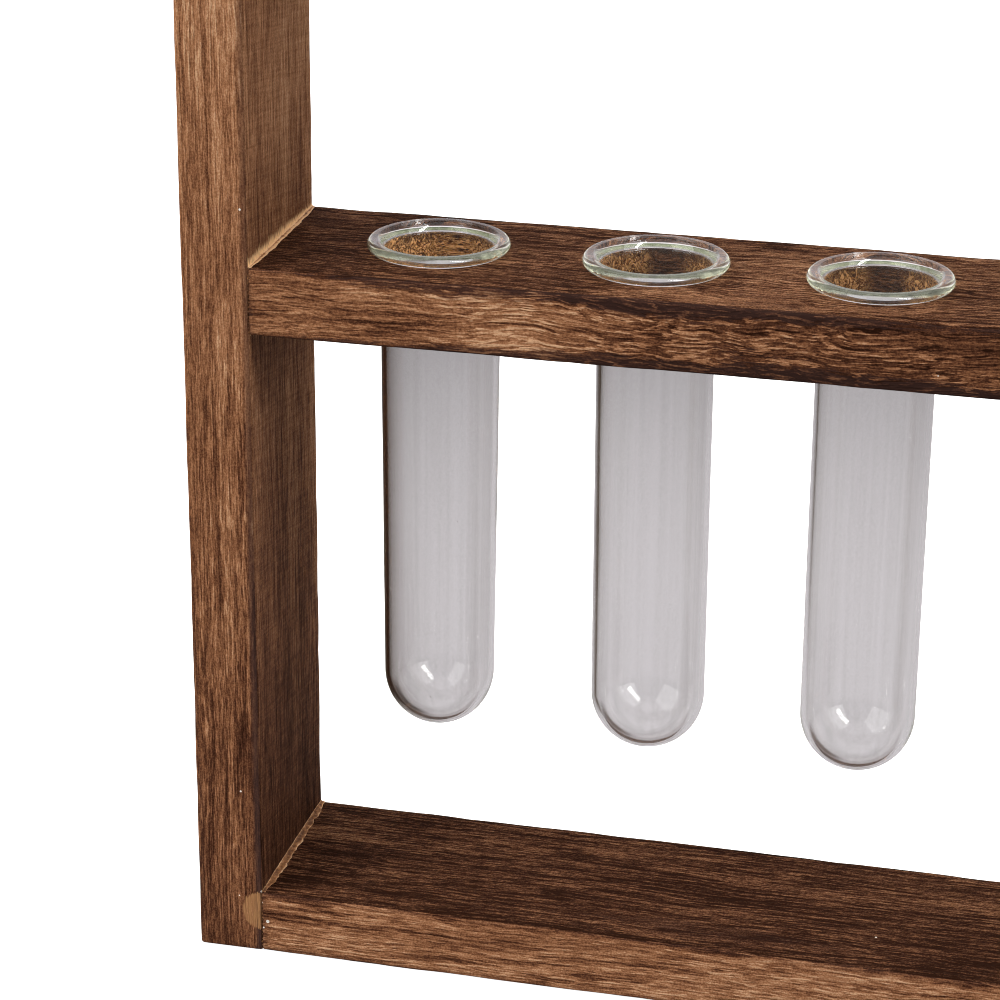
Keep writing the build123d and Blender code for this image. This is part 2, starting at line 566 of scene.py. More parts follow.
def tones_of(wires, look, position, along):
    """The tone of the front face and that of the wide faces, at each place of a board."""
    front, wide = [
        wires.ramp(along, [(spot, (tone,) * 3) for spot, tone in look[face]]) for face in ("front", "wide")
    ]
    depth = wires.split(position)[1]
    wide = wires.plus(wide, wires.step(depth, back_from, back_to, 0.0, look.get("back", 0.0)))
    near_front = wires.step(depth, front_from, front_to, 0.0, look.get("front_edge", 0.0))
    wide = wires.plus(wide, wires.times(near_front, wires.step(along, 0.50, 0.54, 0.45, 1.2)))
    if look["grain"] == "Z":
        wide = wires.times_plus(brush_marks(wires, position), brush_depth, wide)
    return front, wide


def make_board_material(node):
    """The scorched wood of one board."""
    look = board_looks[node]
    material, wires, shader, _ = start_material(node + "_wood")
    position, board, grain_vector, along = place_on_board(wires, node)
    front_tone, wide_tone = tones_of(wires, look, position, along)
    front_dashes, wide_dashes = look["dashes"]
    front_contrast, wide_contrast = look["contrast"]
    finish = wires.group(
        finish_group,
        Grain_Vector=grain_vector,
        Arris=wires.times(board["Arris"], wires.times_plus(board["Wide"], 2.2, 1.0)),
        Tone=wires.blend(board["Front"], wide_tone, front_tone),
        Seed=look["seed"],
        Waviness=look["waviness"],
        Contrast=wires.blend(board["Front"], wide_contrast, front_contrast),
        Dash_Amount=wires.blend(board["Front"], wide_dashes, front_dashes),
        Streak_Amount=look["streaks"],
        Scorch_Amount=look["scorch"],
        Scorch_Reach=look["reach"],
    ).outputs
    specks = wires.group(speck_group, Position=position, Cell=9 * MM, Share=0.05, Size=0.035).outputs["Mask"]
    color = finish["Color"]
    if look["grain"] == "Z":
        color = smear_glue(wires, node, position, board["Wide"], finish["Height"], color)
    if node in ("left_post", "bottom_rail"):
        color = drop_crumbs(wires, position, board["Front"], color)
    # Painted sheen on the wide faces.
    painted_sheen = wires.mix(board["Wide"], (1, 1, 1, 1), painted_sheen_tint)
    color = wires.mix(specks, wires.vector("MULTIPLY", color, painted_sheen), chalk)
    wires.set(shader, Base_Color=color, Roughness=finish["Roughness"], Specular_IOR_Level=0.015)
    add_bump(wires, shader, finish["Height"], wood_bump, 0.8)
    return material


board_materials = {node: make_board_material(node) for node in board_looks}
print("wood materials:", len(board_materials))

# %% [markdown]
# ## Raw wood in the holes
# The saw that cut the holes left bare wood. At the left and right of a hole the cut goes across the fibres,
# and this end grain is golden, torn and curly. At the front and back it runs along them. From the second
# hole on the saw ran hot: it charred the long grain and singed the end grain. The top of the back wall of
# every hole, just below the lip, is darker: partly painted shade beneath the lip, partly char. The normal
# of the wall and the place along the rail tell which is which, so one material covers every hole. The curls
# come from noise: a dark gap is drawn wherever it crosses its middle value.

# %% Make the material of the hole walls
bare_dark = (0.036, 0.012, 0.004)
bare_gold = (0.33, 0.122, 0.034)
bare_pale = (0.80, 0.41, 0.155)
curl_reach = 4 * MM
wall_closeness = 1.6
charred_from, charred_to = -100 * MM, -75 * MM
singed_share = 0.36
rim_shade_and_char = (192.3 * MM, 194.3 * MM)
rim_shade_and_char_depth = (5 * MM, 11 * MM)
rim_shade_and_char_wander = 5 * MM
rim_shade_and_char_share = 0.65

hole_material, wires, shader, _ = start_material("hole_wall_wood")
position, normal = wires.place()
x, depth, level = wires.split(position)
curl = wires.vector("SUBTRACT", wires.noise(position, (420, 420, 420), 1, 0.5, True), noise_middle)
curly = wires.vector("ADD", position, wires.vector("MULTIPLY", curl, (curl_reach,) * 3))
torn = wires.noise(curly, (1250, 1250, 700), 1, 0.5)
worms = wires.times(wires.math("ABSOLUTE", wires.minus(torn, 0.5)), 5.0)
closer = wires.vector("MULTIPLY", position, (wall_closeness,) * 3)
masks = wires.group(grain_group, Grain_Vector=closer, Seed=0.44, Waviness=0.8).outputs
end_grain = wires.ramp(worms, [(0.09, bare_dark), (0.30, bare_gold), (0.66, bare_pale)])
sawn = wires.ramp(masks["Fibres"], [(0.10, bare_dark), (0.45, bare_gold), (0.90, bare_pale)])
burnt_sawn = wires.ramp(masks["Fibres"], [(0.15, burnt), (0.62, umber), (1.0, brown)])
charred = wires.step(x, charred_from, charred_to)
long_grain = wires.mix(charred, sawn, burnt_sawn)
end_grain = wires.mix(wires.times(charred, singed_share), end_grain, (*bare_dark, 1))
end_share = wires.step(wires.split(wires.vector("ABSOLUTE", normal))[0], 0.20, 0.50)
# Painted shade and char: the top of the back wall, just below the lip, is mixed towards burnt.
rim = wires.step(wires.sway(torn, rim_shade_and_char_wander, level), *rim_shade_and_char)
rim = wires.times(rim, wires.step(depth, *rim_shade_and_char_depth, 0.0, rim_shade_and_char_share))
wires.set(
    shader,
    Base_Color=wires.mix(rim, wires.mix(end_share, long_grain, end_grain), (*burnt, 1)),
    Roughness=wires.step(torn, 0.3, 0.7, 0.85, 0.65),
    Specular_IOR_Level=0.05,
)
add_bump(wires, shader, wires.blend(end_share, masks["Height"], worms), 0.35 * MM, 0.8)
print("hole walls have end grain and long grain")

# %% [markdown]
# ## The boards
# A board looks like a box with rounded arrises, but brushing has left its faces slightly wavy and its
# corners unevenly worn. A bevelled cube would be too even. Here a fine grid covers the box, each point is
# drawn back to a rounded corner, and noise then takes a little wood away. It only ever takes away, so a
# board never grows out of its CAD box.

# %% Space the grid lines of a board
arris_round = 0.8 * MM
arris_angles = (45, 30, 15, 0)


def grid_lines(length, spacing, rounded=True):
    """Places of the grid lines along one side of a board, from 0 to its length, closer at an arris."""
    inset = arris_round if rounded else 0.0
    count = max(2, round((length - 2 * inset) / spacing))
    middle = [inset + (length - 2 * inset) * i / count for i in range(count + 1)]
    if not rounded:
        return middle
    corner = [arris_round * (1 - math.tan(math.radians(angle))) for angle in arris_angles[:-1]]
    return corner + middle + [length - place for place in reversed(corner)]


print("lines across 18 mm:", len(grid_lines(18 * MM, 1.3 * MM)))

# %% Wear a board down
face_wear = 0.07 * MM
arris_wear = 0.45 * MM
arris_wear_reach = 2.2 * MM
ripple_size = 5 * MM
knock_size = 9 * MM


def wear_depth(point, inset, along_axis, seed):
    """How much wood is missing at a point, from its distance to the arris and two kinds of noise."""
    stretched = Vector(point) * (1 / ripple_size)
    stretched[along_axis] *= 0.22
    ripple = noise.noise(stretched + seed) * 0.5 + 0.5
    long_place = Vector(point) * (1 / knock_size)
    long_place[along_axis] *= 0.5
    knocks = max(0.0, noise.fractal(long_place + seed * 2, 0.9, 2.0, 3) + 0.15)
    closeness = max(0.0, 1 - inset / arris_wear_reach)
    return face_wear * ripple + arris_wear * closeness**2 * min(knocks, 1.0)


def round_and_wear(point, low, high, square_axis, along_axis, seed):
    """Moves a point of the box's grid to the rounded, worn surface."""
    core = Vector(point)
    for axis in range(3):
        if axis != square_axis:
            core[axis] = min(max(point[axis], low[axis] + arris_round), high[axis] - arris_round)
    out = point - core
    if out.length < 1e-9:
        return point
    cross_axes = [axis for axis in range(3) if axis != along_axis]
    insets = sorted(min(point[axis] - low[axis], high[axis] - point[axis]) for axis in cross_axes)
    depth = wear_depth(point, insets[1], along_axis, seed)
    return core + out.normalized() * (arris_round - depth)


print("deepest wear:", (face_wear + arris_wear) / MM, "mm")

# %% Build a board's mesh
along_spacing = 3.6 * MM
across_spacing = 1.35 * MM


def new_mesh(name, vertices, faces):
    mesh = bpy.data.meshes.new(name)
    mesh.from_pydata(vertices, [], faces)
    mesh.update()
    return mesh


def board_mesh(name, low, high, grain_axis, seed, square_ends):
    """A closed mesh of a worn board. Its grid is finer across the grain than along it."""
    lines = []
    for axis in range(3):
        spacing = along_spacing if axis == grain_axis else across_spacing
        rounded = not (square_ends and axis == grain_axis)
        lines.append([low[axis] + place for place in grid_lines(high[axis] - low[axis], spacing, rounded)])
    last = [len(places) - 1 for places in lines]
    square_axis = grain_axis if square_ends else None
    shift = Vector((seed * 50, seed * 90, seed * 70))
    index = {}
    vertices = []
    faces = []

    def corner(axis, end, i, j):
        """The number of the vertex at a place on one side of the grid, which is made when first met."""
        spot = [0, 0, 0]
        spot[axis], spot[(axis + 1) % 3], spot[(axis + 2) % 3] = end, i, j
        spot = tuple(spot)
        if spot not in index:
            index[spot] = len(vertices)
            point = Vector([lines[k][spot[k]] for k in range(3)])
            vertices.append(round_and_wear(point, low, high, square_axis, grain_axis, shift))
        return index[spot]

    for axis in range(3):
        wide, tall = last[(axis + 1) % 3], last[(axis + 2) % 3]
        if axis == square_axis:
            walk = [(i, 0) for i in range(wide)] + [(wide, j) for j in range(tall)]
            walk += [(i, tall) for i in range(wide, 0, -1)] + [(0, j) for j in range(tall, 0, -1)]
            outlines = [walk]
        else:
            cells = [(i, j) for i in range(wide) for j in range(tall)]
            outlines = [((i, j), (i + 1, j), (i + 1, j + 1), (i, j + 1)) for i, j in cells]
        for end in (0, last[axis]):
            for outline in outlines:
                face = [corner(axis, end, i, j) for i, j in outline]
                faces.append(face if end else face[::-1])
    return new_mesh(name, vertices, faces)


def add_piece(name, mesh, material):
    """Puts a mesh in the scene as an object with one material and smooth faces."""
    piece = bpy.data.objects.new(name, mesh)
    scene.collection.objects.link(piece)
    mesh.materials.append(material)
    mesh.shade_smooth()
    return piece


boards = {}
for node, look in board_looks.items():
    low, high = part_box(node)
    axis = "XYZ".index(look["grain"])
    mesh = board_mesh(node + "_board", low, high, axis, look["seed"], square_ends=look["grain"] == "X")
    boards[node] = add_piece(node + "_board", mesh, board_materials[node])
    print(node, "has", len(mesh.polygons), "faces")

# %% [markdown]
# ## The holes for the tubes
# Each tube hangs in a round hole whose rims are a little torn. The holes could be modelled into the grid of
# the rail, ring by ring. Cutting them with turned plugs is simpler and stays true to how they are made: a
# Boolean modifier takes the plugs away and gives the walls their own material.

# %% Turn a profile into a mesh


def turn(name, profile, segments, centre, wobble=None):
    """A closed mesh turned about an upright axis. The profile runs from axis to axis as (radius, height)
    pairs, and wobble may move a point outwards by its angle and height."""
    vertices = []
    faces = []
    rings = []
    for radius, level in profile:
        on_axis = radius < 1e-7
        rings.append([])
        for step in range(1 if on_axis else segments):
            angle = 2 * math.pi * step / segments
            reach = 0.0 if on_axis else radius + (wobble(angle, radius, level) if wobble else 0.0)
            rings[-1].append(len(vertices))
            x, y = centre[0] + reach * math.cos(angle), centre[1] + reach * math.sin(angle)
            vertices.append((x, y, centre[2] + level))
    for lower, upper in zip(rings, rings[1:]):
        for step in range(segments):
            after = (step + 1) % segments
            if len(lower) == 1:
                faces.append((lower[0], upper[after], upper[step]))
            elif len(upper) == 1:
                faces.append((lower[step], lower[after], upper[0]))
            else:
                faces.append((lower[step], lower[after], upper[after], upper[step]))
    return new_mesh(name, vertices, faces)


print("ready to turn profiles")

# %% Cut the holes
tube_nodes = sorted(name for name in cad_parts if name.startswith("tube_") and name[5:].isdigit())
tube_centres = {}
for node in tube_nodes:
    low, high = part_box(node)
    tube_centres[node] = Vector(((low.x + high.x) / 2, (low.y + high.y) / 2, rail_high.z))

hole_radius = 15.7 * MM
hole_break = 0.5 * MM
hole_overrun = 1 * MM
hole_segments = 144
torn_depth = 0.16 * MM
torn_height = 1.6 * MM
wall_rings = 13


def torn_wall(angle, radius, level):
    """Fibres torn out of the wall of a hole: most where the cut crosses the grain, at the left and right."""
    spot = Vector((math.cos(angle) * 7, math.sin(angle) * 7, level / torn_height))
    roughness = noise.fractal(spot, 0.8, 2.0, 3)
    return max(0.0, roughness) * torn_depth * (0.4 + abs(math.cos(angle)))


thickness = rail_high.z - rail_low.z
wall_height = thickness - 2 * hole_break
wall_levels = [-thickness + hole_break + wall_height * i / (wall_rings - 1) for i in range(wall_rings)]
flare = hole_radius + hole_break + hole_overrun
plug_profile = [(0, -thickness - hole_overrun), (flare, -thickness - hole_overrun)]
plug_profile += [(hole_radius, level) for level in wall_levels]
plug_profile += [(flare, hole_overrun), (0, hole_overrun)]

rail_board = boards["tube_rail"]
rail_board.data.materials.append(hole_material)
for node, centre in tube_centres.items():
    plug = add_piece("plug", turn("plug", plug_profile, hole_segments, centre, torn_wall), hole_material)
    cut = rail_board.modifiers.new("hole", "BOOLEAN")
    cut.operation = "DIFFERENCE"
    cut.solver = "EXACT"
    cut.material_mode = "TRANSFER"
    cut.object = plug
    graph = bpy.context.evaluated_depsgraph_get()
    cut_mesh = bpy.data.meshes.new_from_object(rail_board.evaluated_get(graph), depsgraph=graph)
    rail_board.modifiers.clear()
    rail_board.data = cut_mesh
    bpy.data.objects.remove(plug)
cut_mesh.name = "tube_rail_board"
print("tube rail has", len(cut_mesh.polygons), "faces and", len(cut_mesh.materials), "materials")

# %% Seat the boards on the frame
for node, board in boards.items():
    board.data.set_sharp_from_angle(angle=math.radians(40))
    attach(board, "frame")
    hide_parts(node)
print("boards:", sorted(board.name for board in boards.values()))

# %% [markdown]
# ## Dried glue
# Glue was squeezed out of the joints and left to dry, as a narrow hollow strip along the inside corners and
# as small beads in the groove between a rail and the front of a post. It could be painted on, but the strip
# shows against the white ground at its back end. So each joint gets a thin mesh: the strip is drawn along
# the corner with a width that wanders, and the beads are small uneven balls. Each point of a strip keeps a
# number for how near it is to the strip's own edge, where the glue dried thin and the material makes it
# paler.

# %% Make the glue material
glue_dark = (0.11, 0.044, 0.016)
glue_gold = (0.31, 0.130, 0.042)
glue_pale = (0.70, 0.43, 0.22)

glue_material, wires, shader, _ = start_material("dried_glue")
position, _ = wires.place()
lumps = wires.noise(position, (900, 700, 900), 2, 0.6)
drift = wires.noise(position, (160, 120, 160), 1, 0.5)
shade = wires.sway(drift, 0.5, wires.times(lumps, 0.6))
rim = wires.node("ShaderNodeAttribute", attribute_name="edge").outputs["Fac"]
shade = wires.times_plus(wires.minus(rim, 0.4), 0.45, shade)
wires.set(
    shader,
    Base_Color=wires.ramp(shade, [(0.10, glue_dark), (0.26, glue_gold), (0.46, glue_pale)]),
    Roughness=wires.step(lumps, 0.3, 0.7, 0.62, 0.40),
    Specular_IOR_Level=0.2,
)
add_bump(wires, shader, lumps, 0.25 * MM, 0.7)
print("glue runs from", glue_dark, "to", glue_pale)

# %% Draw a strip of glue along a corner
strip_step = 0.5 * MM
strip_sink = 0.10 * MM
strip_root = 0.35 * MM
strip_wander = 0.35
wander_pace = 0.12
bead_radii = (0.16, 0.36)
bead_gaps = (0.6, 1.5)
bead_aside = 0.12
bead_sink = 0.06 * MM
bead_bumps = 0.4 * MM


def add_strip(shape, start, end, along_post, along_rail, post_reach, rail_reach, paleness, seed):
    """Adds a hollow strip to a bmesh. The two directions point away from the corner, one along each face."""
    run = end - start
    count = round(run.length / strip_step)
    edge = shape.verts.layers.float.get("edge") or shape.verts.layers.float.new("edge")
    loops = []
    for i in range(count + 1):
        spot = start + run * i / count
        fade = min(1.0, 0.35 + 4 * i / count, 0.5 + 6 * (count - i) / count)
        wander = [noise.fractal(Vector((seed + k * 7, i * wander_pace, 0)), 0.7, 2.0, 3) for k in (0, 1)]
        post_side = post_reach * fade * (1 + strip_wander * wander[0])
        rail_side = rail_reach * fade * (1 + strip_wander * wander[1])
        loop = []
        for share in (0.0, 0.25, 0.5, 0.75, 1.0):
            up = post_side * (1 - share) ** 2
            out = rail_side * share**2
            loop.append(spot + along_post * up + along_rail * out)
        loop[0] = loop[0] - along_rail * strip_sink
        loop[-1] = loop[-1] - along_post * strip_sink
        loop.append(spot - (along_post + along_rail) * strip_root)
        loop = [shape.verts.new(point) for point in loop]
        for vertex, nearness in zip(loop, (1.0, paleness, 0.3 * paleness, paleness, 1.0, 0.0)):
            vertex[edge] = nearness
        loops.append(loop)
    for first, second in zip(loops, loops[1:]):
        for k in range(len(first)):
            after = (k + 1) % len(first)
            shape.faces.new((first[k], first[after], second[after], second[k]))
    shape.faces.new(loops[0][::-1])
    shape.faces.new(loops[-1])


def add_beads(shape, start, end, inward, draw):
    """Adds a row of small glue beads to a bmesh, sunk below the face they stand in."""
    run = end - start
    place = 0.0
    while place < run.length:
        radius = draw.uniform(*bead_radii) * MM
        spot = start + run.normalized() * place + inward * (radius + bead_sink)
        spot.x += draw.uniform(-bead_aside, bead_aside) * MM
        moved = Matrix.Translation(spot)
        made = bmesh.ops.create_icosphere(shape, subdivisions=2, radius=radius, matrix=moved)
        for vertex in made["verts"]:
            vertex.co += noise.noise_vector(vertex.co / bead_bumps) * radius * 0.18
        place += draw.uniform(*bead_gaps) * MM


print("strips are drawn in steps of", strip_step / MM, "mm")

# %% Glue every joint
# Reach on the post and on the rail in millimetres, and paleness at the edge
strip_kinds = {"bottom_rail": (0.7, 2.1, 0.15), "tube_rail": (0.55, 1.5, 0.9), "top_rail": (0.55, 1.5, 0.9)}
strip_inset = 0.6 * MM
thin_below = 0.45
foot_gap, head_gap, groove_shift = 0.9 * MM, 0.7 * MM, 0.15 * MM

# noise_vector starts from the clock unless it gets a seed, and then the beads come out alike in each run
glue_seed = 29
noise.seed_set(glue_seed)
draw = random.Random(glue_seed)
depth = rail_high.y
up = Vector((0, 0, 1))
to_back = Vector((0, 1, 0))
for rail, (post_reach, rail_reach, paleness) in strip_kinds.items():
    low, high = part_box(rail)
    corners = [(high.z, up, MM)] if rail != "top_rail" else []
    corners += [(low.z, -up, thin_below * MM)] if rail != "bottom_rail" else []
    for side_name, corner_x, along in (("left", low.x, 1), ("right", high.x, -1)):
        along_rail = Vector((along, 0, 0))
        shape = bmesh.new()
        for level, along_post, scale in corners:
            ends = [Vector((corner_x, y, level)) for y in (-depth + strip_inset, depth - strip_inset)]
            reaches = (post_reach * scale, rail_reach * scale)
            add_strip(shape, *ends, along_post, along_rail, *reaches, paleness, draw.random() * 40)
        for face, inward in ((-depth, to_back), (depth, -to_back)):
            foot = Vector((corner_x, face, low.z + foot_gap)) - along_rail * groove_shift
            head = Vector((corner_x, face, high.z - head_gap)) - along_rail * groove_shift
            add_beads(shape, foot, head, inward, draw)
        bmesh.ops.recalc_face_normals(shape, faces=shape.faces)
        name = rail + "_" + side_name + "_glue"
        mesh = bpy.data.meshes.new(name)
        shape.to_mesh(mesh)
        shape.free()
        dried = add_piece(name, mesh, glue_material)
        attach(dried, "frame")
        print(name, "has", len(mesh.polygons), "faces")

# %% [markdown]
# ## Beech dowels
# Two dowels hold each joint, and none of them shows when the vase is whole. They could be left out, but the
# frame can be taken apart in the model, so the CAD dowels stay and get the pale, close grain of beech.

# %% Make the dowel material
beech_dark = (0.42, 0.27, 0.15)
beech_pale = (0.66, 0.48, 0.31)

dowel_material, wires, shader, _ = start_material("beech")
position, _ = wires.place()
masks = wires.group(grain_group, Grain_Vector=position, Seed=0.66, Waviness=0.2).outputs
tone = wires.times_plus(masks["Grit"], 0.5, wires.times(masks["Fibres"], 0.5))
wires.set(
    shader,
    Base_Color=wires.ramp(tone, [(0.38, beech_dark), (0.6, beech_pale)]),
    Roughness=wires.step(masks["Fibres"], 0.3, 0.7, 0.7, 0.55),
)
add_bump(wires, shader, masks["Height"], 0.15 * MM, 0.5)

dowels = [piece for name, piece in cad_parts.items() if name.startswith("dowel_")]
for dowel in dowels:
    dowel.data.materials.clear()
    dowel.data.materials.append(dowel_material)
print("dowels:", len(dowels))

# %% [markdown]
# ## Clear glass
# The tubes are thin clear glass, a little green where light runs a long way through it, as in the lip. A
# tint on the surface would be too even, because it has to grow with the thickness. So the surface is almost
# colourless, and a thin absorbing volume inside gives the green. A path tracer hardly finds a lamp through
# glass, so rays that only test for shadow pass straight through. Light that is caught in the wall runs
# along it like water in a pipe and leaves at the lip, which looks lit from inside. The renderer gives such
# a ray up after some bounces and leaves it black, so the glass paints a glow in its place: a faint greenish
# emission for a ray that has bounced several times, most of it near the lip. Fine vertical lines of slightly
# darker tint run down the wall. The dark wood mirrored in the glass is a painted reflection: the base colour
# turns dark brown at the left edge of the first tube and in a line at the lower left of each round bottom.

# %% Give the glass its surface
glass_ior = 1.48
clean_glass = (1.0, 1.0, 1.0, 1)
dusty_glass = (0.945, 0.945, 0.940, 1)
seed_in_glass = (0.12, 0.07, 0.06, 1)
painted_post_reflection = (0.09, 0.060, 0.045, 1)
grain_film, vertical_line_film = 3.8, 4.8
grazing_from, grazing_to = 0.50, 0.68
first_tube_from, first_tube_to = -118 * MM, -121 * MM
round_from, round_to = 82 * MM, 76 * MM
lower_left = (-0.64, -0.77)

glass_material, wires, shader, out = start_material("tube_glass")
position, normal = wires.place()
x, _, level = wires.split(position)
haze = wires.noise(position, (95, 95, 26), 3, 0.6)
dust = wires.group(speck_group, Position=position, Cell=7 * MM, Share=0.16, Size=0.02).outputs["Mask"]
film = wires.noise(position, (1900, 1900, 1900), 1, 0.5)
film = wires.sway(film, grain_film, wires.step(haze, 0.45, 0.75, 0.2, 0.8))
# Fine vertical lines of slightly darker tint run down the wall.
film = wires.sway(wires.noise(position, (560, 560, 5), 2, 0.55), vertical_line_film, film)
surface = wires.mix(wires.plus(film, 0.0, clamp=True), clean_glass, dusty_glass)

# Painted reflection: at grazing angles the left edge of the first tube and a band at the lower left of each
# round bottom turn dark brown, standing in for the wood mirrored there.
grazing = wires.step(wires.node("ShaderNodeLayerWeight").outputs["Facing"], grazing_from, grazing_to)
normal_x, _, normal_z = wires.split(normal)
to_post = wires.step(normal_x, -0.45, -0.75)
to_post = wires.times(to_post, wires.step(x, first_tube_from, first_tube_to))
down_left = wires.times_plus(normal_x, lower_left[0], wires.times(normal_z, lower_left[1]))
to_foot = wires.step(wires.math("ABSOLUTE", down_left), 0.80, 0.95)
to_foot = wires.times(to_foot, wires.step(level, round_from, round_to))
painted_reflection = wires.times(grazing, wires.math("MAXIMUM", to_post, to_foot))
surface = wires.mix(painted_reflection, surface, painted_post_reflection)
wires.set(
    shader,
    Base_Color=wires.mix(dust, surface, seed_in_glass),
    Roughness=wires.step(haze, 0.5, 0.8, 0.0, 0.03),
    Transmission_Weight=0.99,
    IOR=glass_ior,
)
add_bump(wires, shader, wires.noise(position, (130, 130, 42), 1, 0.4), 0.05 * MM, 0.5)
print("glass bends light by", glass_ior)

# %% Give the glass its inside
glass_tint = (0.82, 0.90, 0.66, 1)
glass_density = 14.0
shadow_tint = (0.93, 0.95, 0.94, 1)
# Painted glow: a faint, streaky greenish emission for rays that have bounced many times, strongest near the
# lip, standing in for light piped along the wall.
painted_glow_faint = (0.010, 0.0108, 0.0080, 1)
painted_glow_bright = (0.160, 0.1620, 0.1210, 1)
painted_glow_below = 0.08
lip_from, lip_to = 187 * MM, 193 * MM
trapped_after = 4.5

bounces = wires.node("ShaderNodeLightPath").outputs["Ray Depth"]
trapped = wires.math("GREATER_THAN", bounces, trapped_after)
trapped = wires.times(trapped, wires.step(level, lip_from, lip_to, painted_glow_below, 1.0))
streaky = wires.step(wires.noise(position, (520, 520, 60), 1, 0.5), 0.42, 0.58)
painted_glow = wires.mix(streaky, painted_glow_faint, painted_glow_bright)
wires.set(shader, Emission_Color=wires.mix(trapped, (0, 0, 0, 1), painted_glow), Emission_Strength=1.0)
clear = wires.shader("ShaderNodeBsdfTransparent", Color=shadow_tint)
inner = wires.shader("ShaderNodeVolumeAbsorption", Color=glass_tint, Density=glass_density)
wires.set(out, Surface=wires.by_ray("Is Shadow Ray", shader.outputs[0], clear), Volume=inner)
print("a ray counts as trapped after", int(trapped_after), "bounces")

# %% [markdown]
# ## The test tubes
# A test tube is drawn glass: a straight even wall, a round bottom that is a little thicker, and a mouth
# that was heated until it turned out into a lip with a full round edge. It could be a cylinder with
# thickness from a modifier, but refraction shows every flaw of the section. So the whole section is drawn
# once, outside and inside, and turned round the axis, with a faint wobble because drawn glass is never
# quite true. In the photograph the first tube narrows towards its bottom, both hang a little aside and
# their lips sit off centre, so each tube is then tapered, leaned and shifted by small amounts of its own.

# %% Draw the section of a tube
tube_radius = 15.0 * MM
glass_wall = 1.2 * MM
bottom_glass = 1.35 * MM
tube_reach = 133.0 * MM
lip_overhang = 3.4 * MM
lip_height = 2.8 * MM
throat_wide = 2.2 * MM
throat_deep = 4.5 * MM
neck_radius = 0.70 * MM
tube_segments = 200


def arc(centre, radius, start, sweep, steps):
    """Points of an arc as (radius, height) pairs, angles in degrees."""
    angles = [math.radians(start + sweep * i / steps) for i in range(steps + 1)]
    return [(centre[0] + radius * math.cos(a), centre[1] + radius * math.sin(a)) for a in angles]


def straight(start, end, steps):
    """Points between two ends, without the ends."""
    return [
        (start[0] + (end[0] - start[0]) * i / steps, start[1] + (end[1] - start[1]) * i / steps)
        for i in range(1, steps)
    ]


bore_radius = tube_radius - glass_wall
bead_radius = lip_height / 2
rim_start = tube_radius + lip_overhang - bead_radius
outer_bottom = arc((0, tube_radius - tube_reach), tube_radius, -90, 90, 24)
neck = arc((tube_radius + neck_radius, -neck_radius), neck_radius, 180, -90, 6)
bead = arc((rim_start, bead_radius), bead_radius, -90, 180, 24)
throat = [
    (bore_radius + throat_wide * (1 + x), lip_height + throat_deep * (z - 1))
    for x, z in arc((0, 0), 1, 90, 90, 20)
]
inner_bottom = arc((0, bottom_glass - tube_reach + bore_radius), bore_radius, 0, -90, 24)
curves = [outer_bottom, neck, bead, throat, inner_bottom]
section = list(outer_bottom)
for before, after, steps in zip(curves, curves[1:], (22, 3, 4, 22)):
    section += straight(before[-1], after[0], steps) + after
section[0] = (0, section[0][1])
section[-1] = (0, section[-1][1])
print("section has", len(section), "points")

# %% Turn the tubes
wall_wobble = 0.05 * MM
lip_wobble = 0.10 * MM
throat_ripple = 0.07 * MM
wobble_height = 24 * MM
wobble_round = 0.9
ripple_round = 7
tube_apart = 9
taper_start = 5 * MM


def glass_wobble(tube_number):
    """A wobble of its own for each tube: long and faint in the wall, stronger in the lip."""

    def wobble(angle, radius, level):
        side = 3.0 if radius < bore_radius + 0.1 * MM else 0.0
        x, y = math.cos(angle), math.sin(angle)
        turned = x * wobble_round + tube_number * tube_apart
        spot = Vector((turned, y * wobble_round, level / wobble_height + side))
        lip_share = min(1.0, max(0.0, radius - tube_radius) / lip_overhang)
        throat_share = max(0.0, 1 - abs(level + 1.0 * MM) / (3.0 * MM)) if radius < rim_start else 0.0
        ripple = noise.noise(Vector((x * ripple_round, y * ripple_round, tube_number))) * throat_ripple
        swing = wall_wobble + (lip_wobble - wall_wobble) * lip_share
        return noise.noise(spot) * swing + ripple * throat_share

    return wobble


def shape_by_hand(mesh, centre, taper, lean, lip_shift, lip_spread):
    """Narrows a tube towards its bottom, hangs it a little aside, and sets its lip off centre."""
    for vertex in mesh.vertices:
        drop = max(0.0, centre.z - vertex.co.z)
        below = drop / tube_reach
        arm = Vector((vertex.co.x - centre.x, vertex.co.y - centre.y, 0))
        growth = taper * (0.55 - below) * min(1.0, drop / taper_start) * arm.length / tube_radius
        vertex.co += arm.normalized() * growth
        vertex.co.x += lean * below
        lip_share = min(1.0, max(0.0, 1 + (vertex.co.z - centre.z) / throat_deep))
        vertex.co.x += lip_shift * lip_share
        vertex.co += arm * (lip_spread * lip_share / (tube_radius + lip_overhang))


# Taper, lean, shift of the lip and spread of the lip, in millimetres: measured, then drawn at random
habits = [(1.0, -0.35, -0.55, 0.0), (0.05, 0.50, -0.30, 0.30)]
habit_spans = ((-0.10, 0.30), (-0.45, 0.45), (-0.20, 0.20), (0.0, 0.25))
draw = random.Random(11)
while len(habits) < len(tube_centres):
    habits.append([draw.uniform(*span) for span in habit_spans])
for number, (node, centre) in enumerate(tube_centres.items(), start=1):
    name = node + "_glass"
    mesh = turn(name, section, tube_segments, centre, glass_wobble(number))
    shape_by_hand(mesh, centre, *[habit * MM for habit in habits[number - 1]])
    tube = add_piece(name, mesh, glass_material)
    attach(tube, node)
    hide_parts(node)
print("tubes:", len(tube_centres), "with", len(tube.data.polygons), "faces each")

